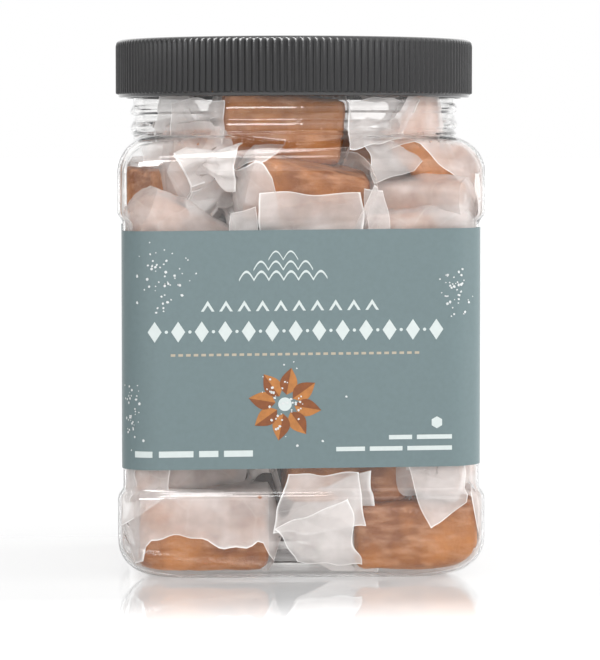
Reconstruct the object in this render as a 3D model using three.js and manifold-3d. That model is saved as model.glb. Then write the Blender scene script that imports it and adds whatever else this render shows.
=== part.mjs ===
// A square wide-mouth clear jar with a ribbed screw lid and a wrap-round label, filled with
// caramels that are each wrapped in waxed paper with twisted ends. Millimetres, +Z up, the
// origin at the middle of the standing ring. The front is -Y.
import * as THREE from "three";
import { mergeVertices } from "three/addons/utils/BufferGeometryUtils.js";
import Module from "manifold-3d";

// Jar body, as half widths across the flats
const BUMPER_HALF = 46.2;
const PANEL_HALF = 44.85;
const CORNER_RADIUS = 8.5;
const CORNER_GROWTH = 0.25;
const WALL = 1.0;
const BASE_RADIUS = 10.3;
const LOWER_BUMPER_TOP = 19.8;
const PANEL_BOTTOM = 24.2;
const PANEL_TOP = 88.6;
const UPPER_BUMPER_BOTTOM = 93.0;
const SHOULDER_BOTTOM = 102.0;
const SHOULDER_RADIUS = 9.5;
const STANDING_RING = 3.0;
const PUSH_UP_HALF = 26;
const PUSH_UP_HEIGHT = 2.2;
const PUSH_UP_MIDDLE = 2.8;
const FILLET_STEPS = 5;

// Neck and its thread
const NECK_RADIUS = 42.0;
const BEAD_HEIGHT = 0.7;
const NECK_BOTTOM = 111.9;
const NECK_TOP = 134.2;
const THREAD_HEIGHT = 1.1;
const THREAD_HALF_WIDTH = 1.0;
const THREAD_RISE = 1.4;
const THREAD_MIDDLES = [113.9, 118.1];
const THREAD_FADE_DEGREES = 20;

// Lid
const LID_BOTTOM = 121.2;
const LID_TOP = 136.1;
const LID_PLATE = 1.5;
const LID_INNER_RADIUS = 43.7;
const LID_RADIUS = 46.5;
const LID_BODY_RADIUS = 45.85;
const LID_EDGE_RADIUS = 1.1;
const RIB_COUNT = 164;
const RIB_DEPTH = 0.5;
const RIB_BOTTOM = 122.2;
const RIB_TOP = 135.0;
const LID_SEGMENTS = 64;

// Label
const LABEL_GAP = 0.1;
const LABEL_THICKNESS = 0.2;
const LABEL_BOTTOM = 28.5;
const LABEL_TOP = 88.0;
const LABEL_SKEW = Math.tan(THREE.MathUtils.degToRad(0.5));

// One caramel: a rounded block with a paper twist and a fan of paper at each end
const BLOCK_LENGTH = 31;
const BLOCK_DEPTH = 15;
const BLOCK_HEIGHT = 17.5;
const BLOCK_BEVEL = 1.6;
const TWIST_LENGTH = 2.8;
const TWIST_RADIUS = 2.6;
const FAN_LENGTH = 9.5;
const FAN_HALF_WIDTH = 8.5;
const FAN_HALF_THICKNESS = 1.3;
const CANDY_SIDES = 8;

// The heap
const HEAP_CLEARANCE = 0.35;
const CORE_HALF = 31;
const CORE_WAIST_HALF = 41;
const CORE_CORNER = 12;
const CORE_BOTTOM = 6;
const CORE_WAIST_BOTTOM = 42;
const CORE_WAIST_TOP = 73;
const CORE_NECK_HALF = 24;
const CORE_NECK = 100;
const CORE_TOP = 118;
const SMALLEST_DETAIL = 0.15;

// Points closer than this are one point
const SAME_POINT = 0.001;
const ROW_OFFSET = 33.5;
const PAIR_OFFSET = 22;
const TURN_JITTER = 9;
const TILT_JITTER = 7;
const PLACE_JITTER = 1.6;

const wasm = await Module();
wasm.setup();

// A seeded generator, so that the heap is the same each time
function randomFrom(seed) {
  let state = seed;
  return () => {
    state = (state * 16807) % 2147483647;
    return state / 2147483647;
  };
}

// Ring angles in degrees, counted from the back: even steps along each face, closer at each corner
function ringAngles() {
  const angles = [];
  for (let quarter = 0; quarter < 4; quarter += 1) {
    for (let step = -3; step <= 3; step += 1) {
      angles.push(90 * quarter + 10 * step);
    }
    for (let step = -2; step <= 2; step += 1) {
      angles.push(90 * quarter + 45 + 3.5 * step);
    }
  }
  return angles;
}

const RING_ANGLES = ringAngles();

// Distance from the axis to the edge of a square with rounded corners, at an angle from a face
function squareRadius(degrees, half, corner) {
  const folded = Math.abs((((degrees % 90) + 135) % 90) - 45);
  const angle = THREE.MathUtils.degToRad(folded);
  const centre = Math.max(half - corner, 0);
  if (half * Math.tan(angle) <= centre) {
    return half / Math.cos(angle);
  }
  const inside = corner * corner - centre * centre * (1 - Math.sin(2 * angle));
  return centre * (Math.cos(angle) + Math.sin(angle)) + Math.sqrt(inside);
}

// A ring of points. radiusAt and heightAt give each point's radius and height from its angle
function ring(radiusAt, heightAt) {
  return RING_ANGLES.map((degrees) => {
    const angle = THREE.MathUtils.degToRad(degrees + 90);
    const radius = radiusAt(degrees);
    return new THREE.Vector3(radius * Math.cos(angle), radius * Math.sin(angle), heightAt(degrees));
  });
}

function squareRing(z, half, corner, least = 0) {
  return ring((degrees) => Math.max(squareRadius(degrees, half, corner), least), () => z);
}

function roundRing(z, radius) {
  return ring(() => radius, () => z);
}

// The corner radius in plan grows a little where the body draws in
function cornerAt(half, inset) {
  return CORNER_RADIUS + CORNER_GROWTH * (BUMPER_HALF - inset - half) - inset;
}

// Rings of the body from the standing ring up to the foot of the neck, moved in by inset
function bodyRings(inset) {
  const rings = [];
  const level = (z, half) => rings.push(squareRing(z, half, cornerAt(half, inset)));
  const baseFlat = BUMPER_HALF - BASE_RADIUS;
  for (let step = 0; step <= FILLET_STEPS; step += 1) {
    const angle = (step / FILLET_STEPS) * (Math.PI / 2);
    const radius = BASE_RADIUS - inset;
    level(BASE_RADIUS - radius * Math.cos(angle), baseFlat + radius * Math.sin(angle));
  }
  const panelDepth = BUMPER_HALF - PANEL_HALF;
  const stepShares = [0, 0.3, 0.7, 1];
  for (const share of stepShares) {
    const drop = panelDepth * (0.5 - 0.5 * Math.cos(Math.PI * share));
    level(THREE.MathUtils.lerp(LOWER_BUMPER_TOP, PANEL_BOTTOM, share), BUMPER_HALF - inset - drop);
  }
  for (const share of stepShares) {
    const rise = panelDepth * (0.5 - 0.5 * Math.cos(Math.PI * share));
    level(THREE.MathUtils.lerp(PANEL_TOP, UPPER_BUMPER_BOTTOM, share), PANEL_HALF - inset + rise);
  }
  const neck = NECK_RADIUS - inset;
  for (let step = 0; step <= FILLET_STEPS; step += 1) {
    const angle = (step / FILLET_STEPS) * (Math.PI / 2);
    const radius = SHOULDER_RADIUS - inset;
    const half = BUMPER_HALF - SHOULDER_RADIUS + radius * Math.cos(angle);
    const z = SHOULDER_BOTTOM + radius * Math.sin(angle);
    rings.push(squareRing(z, half, cornerAt(half, inset), neck));
  }
  return rings;
}

// The two thread ridges each run once round the neck, rise a little and fade out at the back
function threadRings() {
  const rings = [];
  for (const middle of THREAD_MIDDLES) {
    for (const side of [-1, 0, 1]) {
      const fade = (degrees) => {
        const around = (degrees + 360) % 360;
        return Math.min(1, around / THREAD_FADE_DEGREES, (360 - around) / THREAD_FADE_DEGREES);
      };
      const height = side === 0 ? THREAD_HEIGHT : 0;
      const rise = (degrees) => THREAD_RISE * (((degrees + 360) % 360) / 360 - 0.5);
      rings.push(ring(
        (degrees) => NECK_RADIUS + height * fade(degrees),
        (degrees) => middle + rise(degrees) + side * THREAD_HALF_WIDTH,
      ));
    }
  }
  return rings;
}

// A closed skin over a row of rings, with a middle point at each end, or joined into a loop
function loft(rings, firstMiddle, lastMiddle) {
  const count = rings[0].length;
  const points = rings.flat();
  const index = [];
  const looped = firstMiddle === undefined;
  const bands = looped ? rings.length : rings.length - 1;
  for (let band = 0; band < bands; band += 1) {
    const low = band * count;
    const high = ((band + 1) % rings.length) * count;
    for (let i = 0; i < count; i += 1) {
      const next = (i + 1) % count;
      index.push(low + i, low + next, high + next);
      index.push(low + i, high + next, high + i);
    }
  }
  if (!looped) {
    const last = (rings.length - 1) * count;
    const first = points.push(firstMiddle) - 1;
    const end = points.push(lastMiddle) - 1;
    for (let i = 0; i < count; i += 1) {
      const next = (i + 1) % count;
      index.push(first, next, i);
      index.push(end, last + i, last + next);
    }
  }
  const geometry = new THREE.BufferGeometry().setFromPoints(points);
  geometry.setIndex(index);
  return geometry;
}

function toSolid(geometry) {
  const bare = geometry.clone();
  bare.deleteAttribute("normal");
  bare.deleteAttribute("uv");
  const merged = mergeVertices(bare, SAME_POINT);
  const vertProperties = new Float32Array(merged.attributes.position.array);
  const triVerts = new Uint32Array(merged.index.array);
  return new wasm.Manifold(new wasm.Mesh({ numProp: 3, vertProperties, triVerts }));
}

function toGeometry(solid) {
  const mesh = solid.getMesh();
  const geometry = new THREE.BufferGeometry();
  geometry.setAttribute("position", new THREE.BufferAttribute(mesh.vertProperties, 3));
  geometry.setIndex(new THREE.BufferAttribute(mesh.triVerts, 1));
  return geometry;
}

function jarGeometry() {
  const neckInside = NECK_RADIUS - WALL;
  const ringHalf = BUMPER_HALF - BASE_RADIUS - STANDING_RING;
  const outside = [
    squareRing(PUSH_UP_HEIGHT, PUSH_UP_HALF, PUSH_UP_HALF / 2),
    squareRing(0, ringHalf, cornerAt(ringHalf, 0)),
    ...bodyRings(0),
    roundRing(NECK_BOTTOM, NECK_RADIUS + BEAD_HEIGHT),
    ...threadRings(),
    roundRing(NECK_TOP, NECK_RADIUS),
  ];
  const inside = [
    squareRing(WALL + PUSH_UP_HEIGHT, PUSH_UP_HALF, PUSH_UP_HALF / 2),
    squareRing(WALL, ringHalf, cornerAt(ringHalf, 0)),
    ...bodyRings(WALL),
    roundRing(NECK_BOTTOM - WALL, neckInside),
    roundRing(NECK_TOP, neckInside),
  ];
  return loft(
    [...outside, ...inside.reverse()],
    new THREE.Vector3(0, 0, PUSH_UP_MIDDLE),
    new THREE.Vector3(0, 0, PUSH_UP_MIDDLE + WALL),
  );
}

function lidGeometry() {
  const plateBottom = LID_TOP - LID_PLATE;
  const profile = [
    new THREE.Vector2(LID_INNER_RADIUS, LID_BOTTOM),
    new THREE.Vector2(LID_BODY_RADIUS, LID_BOTTOM),
  ];
  const edgeMiddle = LID_RADIUS - LID_EDGE_RADIUS;
  profile.push(new THREE.Vector2(LID_BODY_RADIUS, LID_TOP - LID_EDGE_RADIUS));
  for (let step = 1; step <= 3; step += 1) {
    const angle = THREE.MathUtils.degToRad(30 * step);
    profile.push(new THREE.Vector2(
      Math.min(edgeMiddle + LID_EDGE_RADIUS * Math.cos(angle), LID_BODY_RADIUS),
      LID_TOP - LID_EDGE_RADIUS + LID_EDGE_RADIUS * Math.sin(angle),
    ));
  }
  profile.push(new THREE.Vector2(0, LID_TOP));
  profile.push(new THREE.Vector2(0, plateBottom));
  profile.push(new THREE.Vector2(LID_INNER_RADIUS, plateBottom));
  profile.push(new THREE.Vector2(LID_INNER_RADIUS, LID_BOTTOM));
  const body = new THREE.LatheGeometry(profile, LID_SEGMENTS).rotateX(Math.PI / 2);

  const star = new THREE.Shape();
  for (let i = 0; i < 2 * RIB_COUNT; i += 1) {
    const angle = (Math.PI * i) / RIB_COUNT;
    const radius = i % 2 === 0 ? LID_RADIUS : LID_RADIUS - RIB_DEPTH;
    const x = radius * Math.cos(angle);
    const y = radius * Math.sin(angle);
    if (i === 0) {
      star.moveTo(x, y);
    } else {
      star.lineTo(x, y);
    }
  }
  const bore = new THREE.Path();
  bore.absarc(0, 0, (LID_INNER_RADIUS + LID_BODY_RADIUS) / 2, 0, 2 * Math.PI, true);
  star.holes.push(bore);
  const ribs = new THREE.ExtrudeGeometry(star, {
    depth: RIB_TOP - RIB_BOTTOM,
    bevelEnabled: false,
    curveSegments: 24,
  }).translate(0, 0, RIB_BOTTOM);
  return toGeometry(toSolid(body).add(toSolid(ribs)));
}

function labelGeometry() {
  const inner = PANEL_HALF + LABEL_GAP;
  const band = (edge, half) => {
    const corner = cornerAt(PANEL_HALF, 0) + half - PANEL_HALF;
    return RING_ANGLES.map((degrees) => {
      const angle = THREE.MathUtils.degToRad(degrees + 90);
      const radius = squareRadius(degrees, half, corner);
      const x = radius * Math.cos(angle);
      return new THREE.Vector3(x, radius * Math.sin(angle), edge + x * LABEL_SKEW);
    });
  };
  return loft([
    band(LABEL_BOTTOM, inner + LABEL_THICKNESS),
    band(LABEL_TOP, inner + LABEL_THICKNESS),
    band(LABEL_TOP, inner),
    band(LABEL_BOTTOM, inner),
  ]);
}

// A section across a caramel or its twist, at x along its length
function candySection(x, halfDepth, halfHeight) {
  const points = [];
  for (let i = 0; i < CANDY_SIDES; i += 1) {
    const angle = (2 * Math.PI * (i + 0.5)) / CANDY_SIDES;
    const bulge = 1 / Math.max(Math.abs(Math.cos(angle)), Math.abs(Math.sin(angle)));
    points.push(new THREE.Vector3(
      x,
      halfDepth * Math.cos(angle) * bulge,
      halfHeight * Math.sin(angle) * bulge,
    ));
  }
  return points;
}

function candyGeometry() {
  const full = BLOCK_LENGTH / 2 - BLOCK_BEVEL;
  const twist = BLOCK_LENGTH / 2 + TWIST_LENGTH;
  const fan = twist + FAN_LENGTH;
  return loft(
    [
      candySection(-fan, FAN_HALF_THICKNESS, FAN_HALF_WIDTH),
      candySection(-twist, TWIST_RADIUS, TWIST_RADIUS),
      candySection(-full, BLOCK_DEPTH / 2, BLOCK_HEIGHT / 2),
      candySection(full, BLOCK_DEPTH / 2, BLOCK_HEIGHT / 2),
      candySection(twist, TWIST_RADIUS, TWIST_RADIUS),
      candySection(fan, FAN_HALF_THICKNESS, FAN_HALF_WIDTH),
    ],
    new THREE.Vector3(-fan, 0, 0),
    new THREE.Vector3(fan, 0, 0),
  );
}

// The caramels at the front, as they show above and below the label. turn is about the upright,
// tilt lifts the right end and roll leans the top forward, all in degrees
const SHOWN = [
  { at: [-24.4, -34.2, 12.4], turn: 0, tilt: 0, roll: 7 },
  { at: [28.6, -34.4, 12.0], turn: -2, tilt: 1, roll: 6 },
  { at: [8.5, -31.5, 29.6], turn: 3, tilt: -6, roll: 0 },
  { at: [-26.5, -32, 31.5], turn: 8, tilt: 5, roll: 0 },
  { at: [35.5, -26, 31], turn: 78, tilt: 4, roll: 8 },
  { at: [-27.5, -31, 85], turn: 20, tilt: -13, roll: 0 },
  { at: [27.5, -32.5, 83.5], turn: -6, tilt: 4, roll: 0 },
  { at: [1, -33.8, 94.4], turn: 3, tilt: -10, roll: 14 },
  { at: [-27.5, -27.5, 101], turn: -48, tilt: -14, roll: 0 },
  { at: [-36, -4, 97], turn: 84, tilt: 10, roll: 0 },
  { at: [28, -28, 98.5], turn: -32, tilt: 14, roll: 10 },
  { at: [-5, -26.5, 113.6], turn: 2, tilt: 0, roll: 0 },
  { at: [26, -12, 111], turn: -56, tilt: -18, roll: 0 },
];

// The rest of each layer that shows: a pair along the back, and one caramel along a side for each
// entry in sides, where -1 is the left
const LAYERS = [
  { z: 12.6, sides: [-1, 1] },
  { z: 30.6, sides: [-1, 1] },
  { z: 84.2, sides: [-1, 1] },
  { z: 100.4, sides: [1] },
];

const TOPMOST = [
  { at: [-24, 10, 112], turn: 70, tilt: 6, roll: 0 },
  { at: [6, 25, 113], turn: 8, tilt: -6, roll: 0 },
];

function layeredPlaces() {
  const random = randomFrom(11);
  const spread = (amount) => amount * (2 * random() - 1);
  const places = [];
  const place = (x, y, z, turn) => places.push({
    at: [x + spread(PLACE_JITTER), y, z + spread(PLACE_JITTER)],
    turn: turn + spread(TURN_JITTER),
    tilt: spread(TILT_JITTER),
    roll: spread(TILT_JITTER),
  });
  for (const layer of LAYERS) {
    place(-PAIR_OFFSET, ROW_OFFSET, layer.z, 0);
    place(PAIR_OFFSET, ROW_OFFSET, layer.z, 0);
    for (const side of layer.sides) {
      place(side * ROW_OFFSET, 1, layer.z, 90);
    }
  }
  return places;
}

function placed(geometry, { at, turn, tilt, roll }) {
  const angles = new THREE.Euler(
    THREE.MathUtils.degToRad(roll),
    THREE.MathUtils.degToRad(-tilt),
    THREE.MathUtils.degToRad(turn),
    "ZYX",
  );
  const matrix = new THREE.Matrix4().makeRotationFromEuler(angles);
  matrix.setPosition(...at);
  return geometry.clone().applyMatrix4(matrix);
}

// The space inside the jar up to its mouth, less a small clearance
function roomGeometry() {
  const inset = WALL + HEAP_CLEARANCE;
  const neck = NECK_RADIUS - inset;
  const floorHalf = BUMPER_HALF - BASE_RADIUS - STANDING_RING;
  return loft(
    [
      squareRing(inset + PUSH_UP_HEIGHT, PUSH_UP_HALF, PUSH_UP_HALF / 2),
      squareRing(inset, floorHalf, cornerAt(floorHalf, 0)),
      ...bodyRings(inset),
      roundRing(NECK_BOTTOM - inset, neck),
      roundRing(NECK_TOP - HEAP_CLEARANCE, neck),
    ],
    new THREE.Vector3(0, 0, inset + PUSH_UP_MIDDLE),
    new THREE.Vector3(0, 0, NECK_TOP - HEAP_CLEARANCE),
  );
}

function coreGeometry() {
  const section = (z, half) => {
    const flat = half - CORE_CORNER;
    return [
      [half, -flat], [half, flat], [flat, half], [-flat, half],
      [-half, flat], [-half, -flat], [-flat, -half], [flat, -half],
    ].map(([x, y]) => new THREE.Vector3(x, y, z));
  };
  return loft(
    [
      section(CORE_BOTTOM, CORE_HALF),
      section(CORE_WAIST_BOTTOM - 6, CORE_HALF),
      section(CORE_WAIST_BOTTOM, CORE_WAIST_HALF),
      section(CORE_WAIST_TOP, CORE_WAIST_HALF),
      section(CORE_WAIST_TOP + 6, CORE_HALF),
      section(CORE_NECK, CORE_HALF),
      section(CORE_TOP, CORE_NECK_HALF),
    ],
    new THREE.Vector3(0, 0, CORE_BOTTOM),
    new THREE.Vector3(0, 0, CORE_TOP),
  );
}

// The largest skin of a solid: any closed-off hollow is filled and any loose scrap is dropped
function largestSkin(solid) {
  const skins = solid.decompose();
  return skins.reduce((best, skin) => (skin.volume() > best.volume() ? skin : best));
}

// The core with the caramels fused on, kept inside the jar
function heapGeometry() {
  const candy = candyGeometry();
  let heap = toSolid(coreGeometry());
  for (const place of [...SHOWN, ...layeredPlaces(), ...TOPMOST]) {
    heap = heap.add(toSolid(placed(candy, place)));
  }
  const inside = largestSkin(heap.intersect(toSolid(roomGeometry())));
  const plain = toGeometry(inside.simplify(SMALLEST_DETAIL));
  return toGeometry(largestSkin(toSolid(plain)));
}

function piece(name, geometry, finish) {
  const mesh = new THREE.Mesh(geometry, new THREE.MeshStandardMaterial(finish));
  mesh.name = name;
  return mesh;
}

const group = new THREE.Group();
group.add(
  piece("jar", jarGeometry(), {
    color: 0xf2f2f0,
    roughness: 0.06,
    metalness: 0,
    transparent: true,
    opacity: 0.25,
  }),
  piece("lid", lidGeometry(), { color: 0x3a3a3b, roughness: 0.45, metalness: 0 }),
  piece("label", labelGeometry(), { color: 0x7a9296, roughness: 0.6, metalness: 0 }),
  piece("caramels", heapGeometry(), { color: 0xb9743f, roughness: 0.5, metalness: 0 }),
);

export default group;
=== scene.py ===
"""The look of a square clear jar of paper-wrapped salted caramels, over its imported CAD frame.

Shapes are worked out in millimetres and become metres when a mesh is made. +Z is up and -Y is
the front.
"""

from __future__ import annotations

import logging
import math
from collections.abc import Iterable
from dataclasses import dataclass, field
from enum import Enum

import bpy
import numpy as np
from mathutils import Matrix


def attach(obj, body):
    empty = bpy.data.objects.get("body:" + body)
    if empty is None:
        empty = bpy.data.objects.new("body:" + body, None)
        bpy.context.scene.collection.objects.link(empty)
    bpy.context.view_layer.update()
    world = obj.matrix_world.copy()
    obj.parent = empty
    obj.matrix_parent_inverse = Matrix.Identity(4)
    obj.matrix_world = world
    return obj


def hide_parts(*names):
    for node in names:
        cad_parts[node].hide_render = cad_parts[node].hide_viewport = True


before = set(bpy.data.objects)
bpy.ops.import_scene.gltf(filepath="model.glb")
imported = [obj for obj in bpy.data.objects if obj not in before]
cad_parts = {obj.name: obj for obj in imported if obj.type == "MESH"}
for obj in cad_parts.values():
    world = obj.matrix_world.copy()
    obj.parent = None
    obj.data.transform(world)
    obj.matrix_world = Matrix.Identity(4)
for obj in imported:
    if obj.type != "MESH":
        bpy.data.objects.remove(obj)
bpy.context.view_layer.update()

LOG = logging.getLogger("jar_of_caramels")
METRE = 0.001
# Paper attribute for free edges and folds: there the paper is more opaque and painted near white,
# partly its denser paper, partly a painted highlight.
RIM = "rim"
Points = np.ndarray
Colour = tuple[float, float, float]


# Numbers and shapes


def smooth(low: float, high: float, value: Points | float) -> Points:
    """An eased step from 0 at low to 1 at high."""
    share = np.clip((np.asarray(value, float) - low) / (high - low), 0.0, 1.0)
    return share * share * (3.0 - 2.0 * share)


def square_radius(angle: Points, half: Points | float, corner: Points | float) -> Points:
    """Distance from the axis to the edge of a square with rounded corners.

    Args:
        angle: Directions from the middle of a face, in radians.
        half: Half the square's width.
        corner: Radius of its corners.

    Returns:
        The distance in each direction.
    """
    folded = np.abs((np.asarray(angle) + math.pi / 4) % (math.pi / 2) - math.pi / 4)
    centre = np.maximum(np.asarray(half, float) - corner, 0.0)
    inside = np.maximum(np.square(corner) - np.square(centre) * (1.0 - np.sin(2.0 * folded)), 0.0)
    curved = centre * (np.cos(folded) + np.sin(folded)) + np.sqrt(inside)
    return np.where(half * np.tan(folded) <= centre, half / np.cos(folded), curved)


class Wobble:
    """Smooth seeded noise made of sine waves in random directions."""

    def __init__(self, seed: int, size: float, waves: int = 7) -> None:
        """Draws the waves.

        Args:
            seed: Seed of the random draws.
            size: Typical length of a wave, in millimetres.
            waves: Number of waves added up.
        """
        random = np.random.default_rng(seed)
        ways = random.normal(size=(waves, 3))
        ways /= np.linalg.norm(ways, axis=1, keepdims=True)
        self.waves = ways * (2.0 * math.pi / (size * random.uniform(0.65, 1.6, (waves, 1))))
        self.starts = random.uniform(0.0, 2.0 * math.pi, waves)

    def soft(self, points: Points) -> Points:
        """Rounded noise, about -1 to 1."""
        return np.sin(points @ self.waves.T + self.starts).sum(-1) / math.sqrt(len(self.starts))

    def creased(self, points: Points) -> Points:
        """Noise of flat facets that meet in sharp folds, about -1 to 1."""
        share = (points @ self.waves.T + self.starts) / math.pi
        return (np.abs(share % 2.0 - 1.0) * 2.0 - 1.0).sum(-1) / math.sqrt(len(self.starts))


def grid_faces(rows: int, columns: int, start: int = 0, closed: bool = False) -> Points:
    """Quads over a grid of points.

    Args:
        rows: Number of rows.
        columns: Points in each row.
        start: Index of the first point.
        closed: Joins the last column to the first.

    Returns:
        Four point indices for each quad.
    """
    row = np.arange(rows - 1)[:, None] * columns + start
    column = np.arange(columns if closed else columns - 1)[None, :]
    after = (column + 1) % columns
    corners = (row + column, row + after, row + columns + after, row + columns + column)
    return np.stack(corners, axis=-1).reshape(-1, 4)


@dataclass
class Skin:
    """Points and faces gathered into one mesh piece."""

    points: list[Points] = field(default_factory=list)
    faces: list[list[int]] = field(default_factory=list)
    rims: list[Points] = field(default_factory=list)
    count: int = 0

    def add(
        self, points: Points, faces: Iterable[Iterable[int]], rim: Points | None = None
    ) -> None:
        """Adds points with the faces that join them.

        Args:
            points: The points.
            faces: Indices counted from the first of these points.
            rim: How close each point is to a free edge of paper, 0 to 1.
        """
        self.faces += [[self.count + int(i) for i in face] for face in faces]
        self.points.append(np.asarray(points, float).reshape(-1, 3))
        added = len(self.points[-1])
        self.rims.append(np.zeros(added) if rim is None else rim.reshape(-1))
        self.count += added

    def add_grid(
        self, grid: Points, closed: bool = False, capped: bool = False, rim: Points | None = None
    ) -> None:
        """Adds a grid of points as a surface.

        Args:
            grid: Points as rows, columns and coordinates.
            closed: Joins the last column to the first.
            capped: Fills the first and the last row with one face each.
            rim: How close each point is to a free edge of paper, 0 to 1.
        """
        rows, columns = grid.shape[:2]
        faces = grid_faces(rows, columns, closed=closed).tolist()
        if capped:
            faces.append(list(range(columns))[::-1])
            faces.append([(rows - 1) * columns + i for i in range(columns)])
        self.add(grid, faces, rim)

    def piece(
        self, name: str, material: bpy.types.Material, slot: str, node: str, crease: float = 40.0
    ) -> bpy.types.Object:
        """Makes the mesh object and ties it to the CAD frame.

        Args:
            name: Name of the object.
            material: Its only material.
            slot: The record's material slot; not used.
            node: The CAD node that it stands for.
            crease: Edges sharper than this many degrees stay sharp.

        Returns:
            The object.
        """
        mesh = bpy.data.meshes.new(name)
        mesh.from_pydata((np.concatenate(self.points) * METRE).tolist(), [], self.faces)
        mesh.shade_smooth()
        mesh.set_sharp_from_angle(angle=math.radians(crease))
        mesh.materials.append(material)
        rims = np.concatenate(self.rims)
        if rims.any():
            values = mesh.attributes.new(RIM, "FLOAT", "POINT").data
            values.foreach_set("value", rims.astype(np.float32))
        made = bpy.data.objects.new(name, mesh)
        bpy.context.scene.collection.objects.link(made)
        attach(made, "root")
        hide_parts(node)
        triangles = sum(len(face) - 2 for face in self.faces)
        LOG.info("%s: %d triangles", name, triangles)
        return made


# Shader parts


class Graph:
    """Adds nodes to a shader tree by name."""

    def __init__(self, tree: bpy.types.NodeTree) -> None:
        """Keeps the tree."""
        self.tree = tree

    def fill(self, made: bpy.types.Node, values: dict[str | int, object]) -> bpy.types.Node:
        """Sets a node's inputs.

        Args:
            made: The node.
            values: Input values, or output sockets to link, by input name or number.

        Returns:
            The same node.
        """
        for name, value in values.items():
            if isinstance(value, bpy.types.NodeSocket):
                self.tree.links.new(value, made.inputs[name])
            else:
                made.inputs[name].default_value = value
        return made

    def node(
        self, kind: str, values: dict[str | int, object] | None = None, **settings: object
    ) -> bpy.types.Node:
        """Adds a node.

        Args:
            kind: Node type without the ShaderNode prefix.
            values: Input values, or output sockets to link, by input name or number.
            settings: Properties of the node.

        Returns:
            The new node.
        """
        made = self.tree.nodes.new("ShaderNode" + kind)
        for name, value in settings.items():
            setattr(made, name, value)
        return self.fill(made, values or {})

    def shared(self, group: bpy.types.NodeTree, values: dict[str, object]) -> bpy.types.Node:
        """Adds a shared node group with its named inputs filled."""
        made = self.tree.nodes.new("ShaderNodeGroup")
        made.node_tree = group
        return self.fill(made, values)

    def place(self) -> bpy.types.NodeSocket:
        """The place of the shaded point in the object's own space."""
        return self.node("TexCoord").outputs["Object"]

    def mix(self, mask: bpy.types.NodeSocket, low: object, high: object) -> bpy.types.NodeSocket:
        """Mixes two colours, or colour sockets: low where the mask is 0, high where it is 1."""
        return self.node("Mix", {0: mask, 6: low, 7: high}, data_type="RGBA").outputs[2]

    def ranged(self, value: bpy.types.NodeSocket, low: float, high: float) -> bpy.types.NodeSocket:
        """Spreads a 0 to 1 value over low to high."""
        return self.node("MapRange", {0: value, 3: low, 4: high}).outputs[0]

    def between(
        self, value: bpy.types.NodeSocket, low: object, high: object
    ) -> bpy.types.NodeSocket:
        """A value that is 0 at low and before it, and 1 from high on."""
        return self.node("MapRange", {0: value, 1: low, 2: high}).outputs[0]

    def joined(self, operation: str, first: object, second: object) -> bpy.types.NodeSocket:
        """Joins two values by a Math operation."""
        return self.node("Math", {0: first, 1: second}, operation=operation).outputs[0]

    def vector(self, operation: str, values: dict[str | int, object]) -> bpy.types.NodeSocket:
        """A vector from a VectorMath operation."""
        return self.node("VectorMath", values, operation=operation).outputs[0]


@dataclass
class Group:
    """A shared node group while it is being made."""

    name: str
    inputs: dict[str, float]
    outputs: dict[str, str]

    def __post_init__(self) -> None:
        """Makes the group's sockets and the node that carries its inputs."""
        group = bpy.data.node_groups.new(self.name, "ShaderNodeTree")
        for label, value in self.inputs.items():
            socket = group.interface.new_socket(
                label, in_out="INPUT", socket_type="NodeSocketFloat"
            )
            socket.default_value = value
        for label, kind in self.outputs.items():
            group.interface.new_socket(label, in_out="OUTPUT", socket_type=kind)
        self.graph = Graph(group)
        self.given = group.nodes.new("NodeGroupInput").outputs

    def noise(self, place: bpy.types.NodeSocket) -> bpy.types.NodeSocket:
        """Noise of the group's own scale and detail."""
        values = {"Vector": place, "Scale": self.given["Scale"], "Detail": self.given["Detail"]}
        return self.graph.node("TexNoise", values).outputs[0]

    def bump(self, height: bpy.types.NodeSocket) -> bpy.types.NodeSocket:
        """A normal bent by a height, of the group's own strength and depth."""
        strength, depth = self.given["Strength"], self.given["Depth"]
        values = {"Height": height, "Strength": strength, "Distance": depth}
        return self.graph.node("Bump", values).outputs[0]

    def ended(self, values: dict[str, bpy.types.NodeSocket]) -> bpy.types.NodeTree:
        """Links what the group puts out, and returns the finished group."""
        self.graph.fill(self.graph.tree.nodes.new("NodeGroupOutput"), values)
        return self.graph.tree


def make_mottle() -> bpy.types.NodeTree:
    """A soft patchy mask in the object's own space, stretched along X if asked."""
    inputs = {"Scale": 100.0, "Detail": 3.0, "Low": 0.35, "High": 0.65, "Stretch": 1.0}
    group = Group("Mottle", inputs, {"Mask": "NodeSocketFloat"})
    graph, given = group.graph, group.given
    scale = graph.node("CombineXYZ", {"X": given["Stretch"], "Y": 1.0, "Z": 1.0}).outputs[0]
    noise = group.noise(graph.vector("MULTIPLY", {0: graph.place(), 1: scale}))
    return group.ended({"Mask": graph.between(noise, given["Low"], given["High"])})


def make_relief() -> bpy.types.NodeTree:
    """Fine surface relief from noise, given out as a normal."""
    inputs = {"Scale": 300.0, "Detail": 3.0, "Strength": 0.3, "Depth": 0.0005}
    group = Group("FineRelief", inputs, {"Normal": "NodeSocketVector"})
    return group.ended({"Normal": group.bump(group.noise(group.graph.place()))})


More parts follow.
